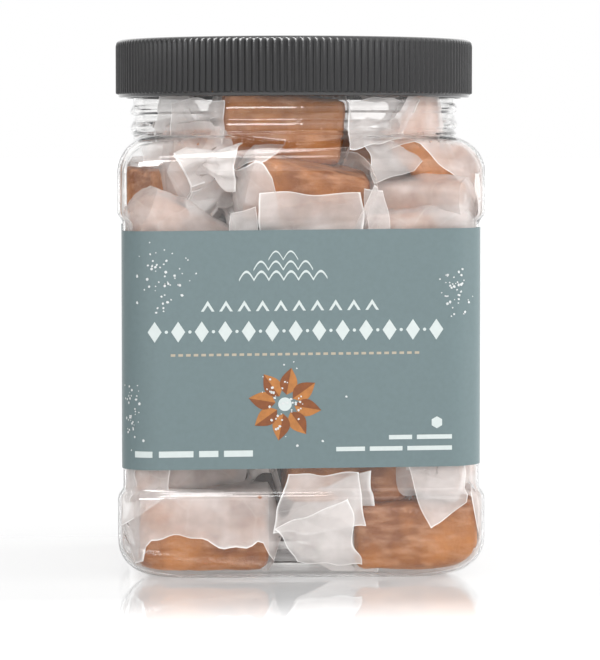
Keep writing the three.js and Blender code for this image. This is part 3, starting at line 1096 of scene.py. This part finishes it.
FRONT_SWEETS = [
    Sweet(
        (-24.6, -34.2, 12.4), 0, 0, 7, 142, 0.27,
        Tail(40, 225, 0, 8, 16), Tail(14, 80, 6, 21, 27), 0.35,
        scale=(1.05, 1.0, 1.1),
    ),
    Sweet(
        (29.0, -34.4, 11.3), -2, 1, 6, 92, 0.62,
        Tail(10, 80, 0, 9, 11), Tail(60, 270, 30, 8, 14), 0.5,
    ),
    Sweet(
        (11.2, -32.6, 27.6), 3, -3, 0, 105, 0.6,
        Tail(60, 270, 0, 6, 10), Tail(20, 120, 10, 8, 16), 0.9,
    ),
    Sweet(
        (-32.0, -30.0, 31.5), 22, 5, 0, 300, 0.1,
        Tail(20, 90, 0, 11, 20), Tail(70, 270, 0, 6, 9), 0.6,
    ),
    Sweet(
        (35.5, -26.0, 31.0), 78, 4, 8, 300, 0.1,
        Tail(40, 60, 70, 9, 18), Tail(), 0.5,
    ),
    Sweet(
        (-29.0, -30.5, 83.2), 18, -27, 0, 300, 0.08,
        Tail(30, 90, 10, 9, 16), Tail(70, 250, 0, 6, 9), 0.5,
    ),
    Sweet(
        (27.5, -32.5, 83.5), -6, 4, 0, 300, 0.05,
        Tail(18, 40, 10, 10, 22), Tail(30, 60, 0, 9, 18), 0.3,
    ),
    Sweet(
        (1.0, -33.8, 96.4), 3, -11, 14, 48, 0.5,
        Tail(30, 130, 10, 12, 22), Tail(20, 250, 10, 8, 12), 0.9,
        slit=(-0.5, 0.85),
    ),
    Sweet(
        (-26.0, -19.5, 105.0), -80, -2, 0, 250, 0.05,
        Tail(10, 0, 0, 12, 20), Tail(80, 262, 20, 7, 12), 0.6,
    ),
    Sweet(
        (-31.5, -13.0, 94.4), -52, 0, 0, 98, 0.55,
        Tail(40, 270, 0, 7, 12), Tail(25, 270, 0, 8, 14), 1.0,
    ),
    Sweet(
        (29.0, -28.5, 91.6), -24, 1, 10, 300, 0.05,
        Tail(50, 215, 0, 7, 10), Tail(20, 60, 10, 10, 20), 0.6,
    ),
    Sweet(
        (-5.0, -27.8, 113.4), 2, -4, 0, 102, 0.68,
        Tail(45, 275, 0, 15, 27), Tail(80, 270, 0, 6, 9), 1.0,
    ),
    Sweet(
        (36.8, -26.5, 105.6), -12, -50, 0, 150, 0.31,
        Tail(50, 270, 0, 8, 14), Tail(40, 130, 30, 8, 16), 0.5,
        slit=(-0.6, 0.95),
    ),
]


@dataclass(frozen=True)
class Flap:
    """A loose corner of paper between other pieces: a four-cornered sheet with a bulge."""

    corners: tuple[tuple[float, float, float], ...]
    bulge: float = 1.5
    seed: int = 1


FLAPS = [
    Flap(
        ((-11.0, -44.0, 97.0), (14.4, -44.2, 97.4), (15.2, -43.6, 86.0), (-11.5, -43.4, 85.0)),
        0.8, 4,
    ),
    Flap(
        ((15.8, -42.4, 98.6), (20.4, -41.6, 98.0), (22.0, -42.0, 86.0), (16.2, -42.6, 86.0)),
        0.5, 31,
    ),
    Flap(
        ((-18.5, -43.0, 91.5), (-11.5, -43.5, 94.0), (-11.0, -43.5, 86.5), (-18.5, -43.0, 86.5)),
        0.6, 37,
    ),
    Flap(
        ((16.2, -34.0, 110.8), (33.4, -29.5, 107.6), (28.6, -36.5, 102.6), (18.4, -39.5, 99.6)),
        0.9, 51,
    ),
    Flap(
        (
            (-32.0, -26.0, 120.4), (-19.0, -36.6, 120.6),
            (-19.4, -37.0, 108.0), (-33.0, -25.0, 107.0),
        ),
        0.8, 58,
    ),
    Flap(
        ((11.6, -38.0, 120.6), (30.5, -27.5, 120.4), (25.0, -33.0, 110.6), (11.8, -38.4, 107.5)),
        0.6, 63,
    ),
    Flap(
        ((-46.0, -38.0, 30.0), (-33.0, -43.6, 29.0), (-33.0, -43.4, 22.0), (-45.0, -40.0, 14.0)),
        1.0, 9,
    ),
    Flap(
        ((26.0, -44.5, 30.0), (42.0, -43.0, 30.0), (41.0, -44.0, 19.5), (31.5, -45.0, 12.7)),
        0.6, 12,
    ),
    Flap(
        ((36.0, -34.0, 111.0), (43.0, -24.0, 110.0), (45.0, -26.0, 100.0), (41.0, -36.0, 101.0)),
        1.2, 17,
    ),
    Flap(
        ((-4.2, -44.4, 26.4), (14.2, -44.6, 27.6), (15.4, -44.8, 13.5), (-7.5, -44.2, 12.0)),
        0.6, 23,
    ),
    Flap(
        ((-7.0, -45.2, 13.5), (11.2, -45.4, 20.8), (14.2, -45.2, 3.4), (-1.5, -45.2, 5.0)),
        0.4, 45,
    ),
]


@dataclass
class Wrap:
    """The paper round one sweet, on a grid of points round by along.

    It is a sleeve, open along one side, gathered into a twist and a flat fan at both ends.
    """

    sweet: Sweet
    seed: int
    length: float
    depth: float
    height: float
    end_gap: float = 0.5
    twist_gap: float = 3.8
    twist_radius: float = 2.0
    fan_turn: float = 2.4
    overlap: float = 24.0
    sheet_width: float = 68.0
    edge_width: float = 0.45

    def __post_init__(self) -> None:
        """Lays out the grid: its lines along the sweet, and where it is gathered and fanned."""
        left, right = self.sweet.left, self.sweet.right
        around, tail, body = (90, 26, 30) if self.sweet.fine else (26, 9, 10)
        self.pleats = np.random.default_rng(self.seed + 500).integers(5, 8)
        self.closed = self.sweet.bare < 0.12
        self.body_end = self.length / 2 + self.end_gap
        self.twist = self.length / 2 + self.twist_gap
        self.u = np.linspace(0.0, 1.0, around)[:, None]
        steps = [
            -self.twist - left.length * np.linspace(1.0, 0.0, tail) ** 1.1,
            np.linspace(-self.twist, self.twist, body)[1:-1],
            self.twist + right.length * np.linspace(0.0, 1.0, tail) ** 1.1,
        ]
        self.x = np.concatenate(steps)[None, :]
        self.on_left = self.x < 0.0
        self.away = np.abs(self.x)
        self.beyond = self.away - self.twist
        self.gather = smooth(self.body_end - 0.8, self.twist, self.away)
        self.fanned = smooth(0.0, 3.5, self.beyond)
        self.tail_length = np.where(self.on_left, left.length, right.length)
        line = np.concatenate([self.x.T, np.zeros((self.x.size, 2))], axis=1)
        self.swell = Wobble(self.seed, 17.0).soft(line)[None, :]
        self.sway = 13.0 * self.swell + 8.0 * Wobble(self.seed + 3, 6.0).soft(line)[None, :]

    def angles(self) -> tuple[Points, Points]:
        """Every point's direction round the sweet, and its degrees from the sleeve's edge."""
        sweet = self.sweet
        share = self.x / (self.length / 2)
        slit = smooth(sweet.slit[0] - 0.2, sweet.slit[0] + 0.2, share)
        slit = slit * (1.0 - smooth(sweet.slit[1] - 0.2, sweet.slit[1] + 0.2, share))
        span = 360.0 * (1.0 - sweet.bare * slit) + (self.overlap if self.closed else 0.0)
        span = (span + self.sway) * (1.0 - self.gather) + 352.0 * self.gather
        phi = np.radians(sweet.opening + 180.0 + (self.u - 0.5) * span)
        return phi, np.minimum(self.u, 1.0 - self.u) * span

    def sleeve(self, phi: Points, inward: Points) -> tuple[Points, Points]:
        """The sleeve: a box with soft edges, lifted a little along its opening.

        Args:
            phi: Direction of each point round the sweet.
            inward: Its degrees from the sleeve's edge.

        Returns:
            Offsets to the back and to the top.
        """
        gap = 0.75 + 0.9 * self.u * (1.0 if self.closed else 0.2)
        lifted = (0.4 + 2.0 * self.sweet.bare) * np.exp(-inward / 9.0)
        gap = gap + lifted * (1.0 + self.swell) * (1.0 - self.gather)
        half_y, half_z = self.depth / 2 + gap, self.height / 2 + gap
        front, top = np.sin(phi), np.cos(phi)
        reach = ((np.abs(front) / half_y) ** 5 + (np.abs(top) / half_z) ** 5) ** -0.2
        reach = reach * (1.0 - 0.05 * smooth(self.body_end - 5.0, self.body_end, self.away))
        return -front * reach, top * reach

    def fan(self, phi: Points) -> tuple[Points, Points, Points]:
        """The twists and the fans beyond them.

        Args:
            phi: Direction of each point round the sweet.

        Returns:
            Offsets to the back and to the top, and the place across the fan from -1 to 1.
        """
        left, right = self.sweet.left, self.sweet.right
        width = np.where(self.on_left, left.width, right.width)
        spin = np.radians(np.where(self.on_left, left.spin, right.spin))
        flare = np.clip(self.beyond / (0.75 * self.tail_length), 0.0, 1.0) ** 0.6
        twisted = smooth(self.body_end, self.twist + 2.0, self.away) * np.sign(self.x)
        turned = phi + self.fan_turn * twisted
        neck = self.twist_radius * (1.0 + 0.22 * np.cos(self.pleats * turned))
        across = 2.0 / math.pi * np.arcsin(np.clip(np.cos(turned), -1.0, 1.0))
        ripple = 0.75 * np.sin(across * self.pleats * 1.4 + self.seed)
        ripple = ripple + 0.35 * np.sin(across * 11.0 + 2.0 * self.seed + self.beyond * 0.3)
        thick = np.sign(np.sin(turned)) * 0.3 + ripple * (1.0 - 0.35 * flare)
        thick = thick * (0.35 + flare)
        wide = across * (neck + (width / 2 - neck) * flare)
        fan_y = thick * np.cos(spin) - wide * np.sin(spin)
        fan_z = wide * np.cos(spin) + thick * np.sin(spin)
        y = -np.sin(turned) * neck * (1.0 - self.fanned) + fan_y * self.fanned
        z = np.cos(turned) * neck * (1.0 - self.fanned) + fan_z * self.fanned
        return y, z, across

    def ridges(self, phi: Points) -> Points:
        """The pleats' sharp ridges on the sleeve, 0 to 1, that grow towards the twists."""
        ridge = 1.0 - np.abs(np.sin(0.5 * self.pleats * phi + 0.5 * self.swell))
        return ridge * smooth(self.body_end - 10.0, self.body_end, self.away) * (1.0 - self.gather)

    def crumpled(self, grid: Points, ridge: Points) -> Points:
        """Folds the sleeve outward and the fans every way.

        Args:
            grid: The smooth paper.
            ridge: Its pleats.

        Returns:
            The crumpled paper.
        """
        fold = Wobble(self.seed + 7, 17.0, 3).creased(grid) + 0.35
        small = Wobble(self.seed + 9, 6.5, 3).creased(grid)
        outward = grid * np.array([0.0, 1.0, 1.0])
        outward /= np.maximum(np.linalg.norm(outward, axis=-1, keepdims=True), 1.0)
        rise = (0.75 * fold + 0.28 * small) * (1.0 - self.gather * 0.5) + 1.1 * ridge
        grid = grid + outward * np.maximum(rise, -0.05)[..., None]
        folds = [Wobble(self.seed + 20 + i, 15.0, 3).creased(grid) for i in range(3)]
        return grid + np.stack(folds, -1) * (1.1 * self.fanned * self.gather)[..., None]

    def build(self) -> tuple[Points, Points]:
        """Works out the paper in the sweet's own space.

        Returns:
            The grid of points, and how close each is to a free edge or a fold.
        """
        phi, inward = self.angles()
        body_y, body_z = self.sleeve(phi, inward)
        end_y, end_z, across = self.fan(phi)
        y = body_y * (1.0 - self.gather) + end_y * self.gather
        z = body_z * (1.0 - self.gather) + end_z * self.gather
        ragged = 1.0 + 0.07 * np.sin(across * 3.0 + self.seed) + 0.10 * np.abs(across)
        beyond = np.where(self.beyond > 0.0, self.beyond * ragged, self.beyond)
        beyond = np.broadcast_to(beyond, y.shape)
        left, right = (tail.leaning(beyond, y, z) for tail in (self.sweet.left, self.sweet.right))
        grid = np.where(self.on_left[..., None], left, right)
        grid[..., 0] = np.where(self.on_left, -1.0, 1.0) * (self.twist + grid[..., 0])
        middle = np.stack([np.broadcast_to(self.x, y.shape), y, z], -1)
        on_sleeve = np.broadcast_to(self.away < self.twist, y.shape)
        grid = np.where(on_sleeve[..., None], middle, grid)
        ridge = self.ridges(phi)
        grid = self.crumpled(grid, ridge)
        ends = self.tail_length - np.maximum(self.beyond, 0.0)
        edge = np.minimum(np.minimum(self.u, 1.0 - self.u) * self.sheet_width, ends)
        # Pleat ridges and gathered fans join the edge mask and so turn near white: the fans for
        # their layers of paper, the ridges as a painted highlight.
        folds = np.maximum(0.7 * ridge ** 5, 0.45 * self.fanned * self.gather)
        return grid * self.sweet.scale, np.maximum(np.exp(-edge / self.edge_width), folds)


@dataclass
class Heap:
    """All that fills the jar: wrapped sweets stacked round a dark middle, a painted shade that
    stands for the shadowed depth of the heap.
    """

    shape: JarShape
    caramel: CaramelFinish
    paper: PaperFinish
    # Near-black brown of the heap's middle: painted shade for the shadowed gaps deep in the heap.
    shade: InkFinish = InkFinish("heap_painted_shade", (0.07, 0.026, 0.016), 0.7, 0.3)
    length: float = 31.0
    depth: float = 15.0
    height: float = 17.5
    soft_edge: float = 2.3
    bulge: float = 0.022
    dents: tuple[tuple[float, float], ...] = ((0.24, 13.0), (0.08, 4.0))
    flap_steps: int = 34
    core_rings: tuple[tuple[float, float], ...] = (
        (7.0, 18.0), (9.0, 25.0), (30.0, 26.0), (50.0, 27.0),
        (70.0, 27.0), (88.0, 24.0), (98.0, 19.0), (102.0, 12.0),
    )

    def sweets(self) -> list[Sweet]:
        """The sweets that show, and those behind and between them in rough layers."""
        random = np.random.default_rng(11)
        found = list(FRONT_SWEETS)

        def add(x: float, y: float, z: float, turn: float) -> None:
            """Adds one hidden sweet, a little off its place."""
            sway = random.uniform(-1.0, 1.0, 5)
            steep = 0.3 if z > 95.0 else 1.0
            tails = []
            for _ in range(2):
                lean = steep * random.uniform(15, 60)
                tails.append(Tail(lean, random.uniform(0, 360), random.uniform(0, 90), 10, 17))
            at = (x + 1.6 * sway[0], y, z + 1.6 * sway[1])
            angles = (turn + 9 * sway[2], 7 * sway[3], 7 * sway[4])
            opening, bare = random.uniform(0, 360), random.choice([0.05, 0.5, 0.7])
            found.append(Sweet(at, *angles, opening, bare, *tails, 0.8, fine=False))

        across, inside = 33.5, 22.0
        for z, y, sides in (
            (12.6, across, (-1, 1)), (30.6, across, (-1, 1)), (48.4, -across, ()),
            (66.4, -across, ()), (84.2, across, (-1, 1)), (100.4, across, (1,)),
        ):
            for side in (-1, 1):
                add(inside * side, y, z, 0.0)
            for side in sides:
                add(across * side, 1.0, z, 90.0)
        down = Tail(70, 180, 0, 6, 10)
        found.append(Sweet((-5.0, -4.0, 111.8), 4, 0, 0, 270, 0.6, down, down, 0.8, fine=False))
        found.append(Sweet((17.0, -12.5, 103.5), 5, 0, 0, 90, 0.85, down, down, 0.8, fine=False))
        return found

    def block(self, sweet: Sweet, seed: int) -> tuple[Points, Points]:
        """The caramel itself: a block with soft edges, pressed a little out of true.

        Args:
            sweet: Where it lies and how fine it is.
            seed: Seed of its own unevenness.

        Returns:
            Its points and its faces.
        """
        random = np.random.default_rng(seed)
        count = 17 if sweet.fine else 9
        steps = np.linspace(-1.0, 1.0, count)
        across, up = np.meshgrid(steps, steps, indexing="ij")
        half = np.array([self.length, self.depth, self.height]) / 2
        half = half * random.uniform(0.94, 0.98, 3) * sweet.scale
        points, faces = [], []
        for axis in range(3):
            for side in (-1.0, 1.0):
                face = np.empty((count, count, 3))
                face[..., axis] = side
                face[..., (axis + 1) % 3] = across * side
                face[..., (axis + 2) % 3] = up
                faces.append(grid_faces(count, count, len(points) * count * count))
                points.append(face.reshape(-1, 3))
        cube = np.concatenate(points) * half
        soft = self.soft_edge
        inner = np.clip(cube, -(half - soft), half - soft)
        out = cube - inner
        far = np.linalg.norm(out, axis=1, keepdims=True)
        block = inner + out / np.maximum(far, 1e-6) * np.minimum(far, soft)
        share = block / half
        lean = random.uniform(-0.05, 0.05, 3)
        block[:, 1] += lean[0] * block[:, 0] + lean[1] * block[:, 2]
        block[:, 2] += lean[2] * block[:, 0]
        block *= 1.0 + self.bulge * (1.0 - np.square(share)[:, [1, 2, 0]])
        normal = out / np.maximum(far, 1e-6)
        for index, (height, size) in enumerate(self.dents):
            block += normal * height * Wobble(seed + index, size).soft(block)[:, None]
        placed = self.shape.hold(sweet.placed(block), 0.85 + sweet.depth * 0.5, 0.3)
        return placed, np.concatenate(faces)

    def wrapper(self, sweet: Sweet, seed: int) -> tuple[Points, Points]:
        """The paper round one sweet in the jar, and how close each point is to a free edge."""
        grid, rim = Wrap(sweet, seed, self.length, self.depth, self.height).build()
        return self.shape.hold(sweet.placed(grid), sweet.depth, 0.1), rim

    def flap(self, flap: Flap) -> tuple[Points, Points]:
        """A loose corner of paper: a grid of points and how close each is to a free edge, never
        below 0.3, which paints the whole sheet a little lighter as painted light.
        """
        a, b, c, d = (np.array(corner) for corner in flap.corners)
        steps = np.linspace(0.0, 1.0, self.flap_steps)
        u, v = (share[..., None] for share in np.meshgrid(steps, steps, indexing="ij"))
        sheet = (1 - u) * (1 - v) * a + u * (1 - v) * b + u * v * c + (1 - u) * v * d
        edge = Wobble(flap.seed, 9.0).soft(sheet)[..., None]
        sheet = sheet + 0.5 * edge * np.array([1.0, 0.0, 1.0])
        lift = flap.bulge * np.sin(math.pi * u) * np.sin(math.pi * v)
        folds = Wobble(flap.seed + 2, 13.0, 3).creased(sheet)[..., None] + 0.4
        edge = np.minimum(np.minimum(u, 1.0 - u), np.minimum(v, 1.0 - v)) * 16.0
        held = self.shape.hold(sheet + np.array([0.0, 1.0, 0.0]) * (lift + 0.7 * folds), 0.25)
        # The floor of 0.3 paints every flap a little lighter than the wrappers: painted light that
        # lifts the flaps out of shade.
        return held, np.maximum(np.exp(-edge / 0.45), 0.3)

    def painted_shade_core(self) -> Points:
        """The dark middle of the heap as a grid of rings, coloured as painted shade."""
        turns = np.linspace(0.0, 2.0 * math.pi, 72, endpoint=False)
        rings = []
        for z, half in self.core_rings:
            radius = square_radius(turns, half, 9.0)
            x, y = radius * np.cos(turns), radius * np.sin(turns)
            rings.append(np.stack([x, y, np.full_like(turns, z)], -1))
        grid = np.stack(rings)
        swollen = grid * (1.0 + 0.05 * Wobble(2, 20.0).soft(grid))[..., None]
        return swollen * [1, 1, 0] + grid * [0, 0, 1]

    def build(self, shared: Shared) -> None:
        """Makes the caramels, their wrappers, the loose flaps and the dark middle of painted shade.
        """
        caramel, paper = self.caramel.build(shared), self.paper.build(shared)
        blocks, near, far, loose, middle = Skin(), Skin(), Skin(), Skin(), Skin()
        sweets = self.sweets()
        for index, sweet in enumerate(sweets):
            blocks.add(*self.block(sweet, 40 + index))
            grid, rim = self.wrapper(sweet, 90 + 3 * index)
            (near if sweet.fine else far).add_grid(grid, rim=rim)
        for flap in FLAPS:
            grid, rim = self.flap(flap)
            loose.add_grid(grid, rim=rim)
        middle.add_grid(self.painted_shade_core(), closed=True, capped=True)
        blocks.piece("caramel_blocks", caramel, "caramel", "caramels", 60.0)
        near.piece("wrappers_near", paper, "waxed_paper", "caramels", 28.0)
        far.piece("wrappers_far", paper, "waxed_paper", "caramels", 28.0)
        loose.piece("loose_flaps", paper, "waxed_paper", "caramels", 28.0)
        # The middle gets the near-black brown: painted shade seen between the sweets.
        dark = self.shade.build(shared)
        middle.piece("heap_painted_shade_core", dark, "caramel", "caramels", 60.0)
        LOG.info("%d wrapped caramels", len(sweets))


# The studio


@dataclass
class Studio:
    """White floor and surroundings, soft lights and the camera."""

    camera_at: tuple[float, float, float] = (-0.0455, -0.8688, 0.110)
    pitch: float = 3.257
    heading: float = 3.1035
    lens: float = 181.1
    sensor: float = 36.0
    aim: tuple[float, float, float] = (0.0, 0.0, 0.07)
    floor_fade: tuple[float, float] = (-0.114, -0.07)
    floor_glow: tuple[float, float] = (0.66, 0.27)
    sky_strength: tuple[float, float] = (1.0, 0.86)
    card_size: tuple[float, float] = (0.7, 0.5)

    def sheet(self, name: str, corners: list, material: bpy.types.Material) -> bpy.types.Object:
        """A flat four-cornered sheet that belongs to the studio."""
        mesh = bpy.data.meshes.new(name)
        mesh.from_pydata(corners, [], [(0, 1, 2, 3)])
        mesh.materials.append(material)
        made = bpy.data.objects.new(name, mesh)
        bpy.context.scene.collection.objects.link(made)
        return made

    def floor(self) -> None:
        """The white floor, matt in front and glossy from just before the jar on."""
        values = {
            "Base Color": opaque((0.4, 0.4, 0.4)),
            "Roughness": 0.03,
            "IOR": 1.75,
            "Emission Color": (1.0, 1.0, 1.0, 1.0),
        }
        material, graph, shader = principled("floor_white", values)
        near = graph.node("SeparateXYZ", {0: graph.place()}).outputs["Y"]
        values = {0: near, 1: self.floor_fade[0], 2: self.floor_fade[1]}
        fade = graph.node("MapRange", values, interpolation_type="SMOOTHSTEP").outputs[0]
        glow = graph.ranged(fade, *self.floor_glow)
        graph.fill(shader, {"Specular IOR Level": fade, "Emission Strength": glow})
        self.sheet("floor", [(-30, -30, 0), (30, -30, 0), (30, 60, 0), (-30, 60, 0)], material)

    def card(self, name: str, at: tuple[float, float, float], grey: float) -> None:
        """A grey card beside the jar, unseen by the camera, that draws the jar's edges.

        Args:
            name: Name of the object.
            at: Its middle, in metres.
            grey: Its colour.
        """
        long, high = self.card_size[0] / 2, self.card_size[1] / 2
        ways = ((-1, -1), (1, -1), (1, 1), (-1, 1))
        corners = [(at[0], at[1] + a * long, at[2] + b * high) for a, b in ways]
        material = principled(name, {"Base Color": opaque((grey,) * 3), "Roughness": 1.0})[0]
        made = self.sheet(name, corners, material)
        made.visible_camera = False
        made.visible_shadow = False

    def light(
        self,
        name: str,
        at: tuple[float, float, float],
        size: tuple[float, float],
        power: float,
        level: float | None = None,
        gloss_only: bool = False,
    ) -> None:
        """A soft rectangular light turned to the jar, or level above it.

        Args:
            name: Name of the light.
            at: Its place, in metres.
            size: Its width and height, in metres.
            power: Its power in watts.
            level: If given, the light faces straight down, turned by this many degrees.
            gloss_only: The light shows in reflections alone.
        """
        lamp = bpy.data.lights.new(name, "AREA")
        lamp.shape = "RECTANGLE"
        lamp.size, lamp.size_y = size
        lamp.energy = power
        made = bpy.data.objects.new(name, lamp)
        made.location = at
        aim = np.array(self.aim) - np.array(at)
        flat = math.hypot(aim[0], aim[1])
        made.rotation_euler = (math.atan2(flat, -aim[2]), 0.0, math.atan2(-aim[0], aim[1]))
        if level is not None:
            made.rotation_euler = (0.0, 0.0, math.radians(level))
        made.visible_diffuse = not gloss_only
        bpy.context.scene.collection.objects.link(made)

    def camera(self) -> None:
        """The camera of the photo."""
        data = bpy.data.cameras.new("camera")
        data.lens, data.sensor_width = self.lens, self.sensor
        data.clip_start, data.clip_end = 0.05, 20.0
        made = bpy.data.objects.new("camera", data)
        made.location = self.camera_at
        made.rotation_euler = (math.radians(90.0 - self.pitch), 0.0, math.radians(-self.heading))
        bpy.context.scene.collection.objects.link(made)
        bpy.context.scene.camera = made

    def build(self) -> None:
        """Sets up the surroundings, the lights and the camera."""
        scene = bpy.context.scene
        world = bpy.data.worlds.new("surroundings")
        world.use_nodes = True
        graph = Graph(world.node_tree)
        sky = world.node_tree.nodes["Background"]
        soft = graph.node("LightPath").outputs["Is Diffuse Ray"]
        strength = graph.ranged(soft, *self.sky_strength)
        graph.fill(sky, {"Color": opaque((1.0, 1.0, 1.0)), "Strength": strength})
        scene.world = world
        scene.view_settings.view_transform = "Standard"
        scene.cycles.max_bounces = 28
        scene.cycles.transmission_bounces = 28
        scene.cycles.transparent_max_bounces = 40
        self.floor()
        self.card("card_left", (-0.42, 0.1, 0.2), 0.45)
        self.card("card_right", (0.42, 0.1, 0.2), 0.75)
        self.light("overhead", (0.0125, -0.30, 0.72), (0.032, 0.42), 0.3, -7.0)
        self.light("overhead_low", (-0.012, -0.52, 0.72), (0.13, 0.11), 0.28, -6.0)
        self.light("front_soft", (0.3, -1.6, 0.9), (2.0, 1.2), 6.0)
        self.light("glint_left", (-0.315, -0.587, 0.524), (0.62, 0.24), 7.5, gloss_only=True)
        self.light("key_left", (-0.50, -0.70, 0.75), (0.45, 0.45), 0.8)
        self.light("fill_right", (0.88, -0.25, 0.35), (0.4, 0.6), 4.2)
        self.light("rim_right", (0.75, 0.3, 0.3), (0.3, 0.5), 3.0)
        self.camera()


def main() -> None:
    """Builds every piece of the jar, then the studio."""
    logging.basicConfig(level=logging.INFO, format="%(message)s")
    shared = Shared()
    shape = JarShape()
    Jar(shape, ClearFinish()).build()
    Lid(LidFinish()).build(shared)
    Label(InkFinish("label_film", (0.150, 0.206, 0.215), 0.36, 0.03)).build(shared)
    Heap(shape, CaramelFinish(), PaperFinish()).build(shared)
    Studio().build()


if __name__ == "__main__":
    main()
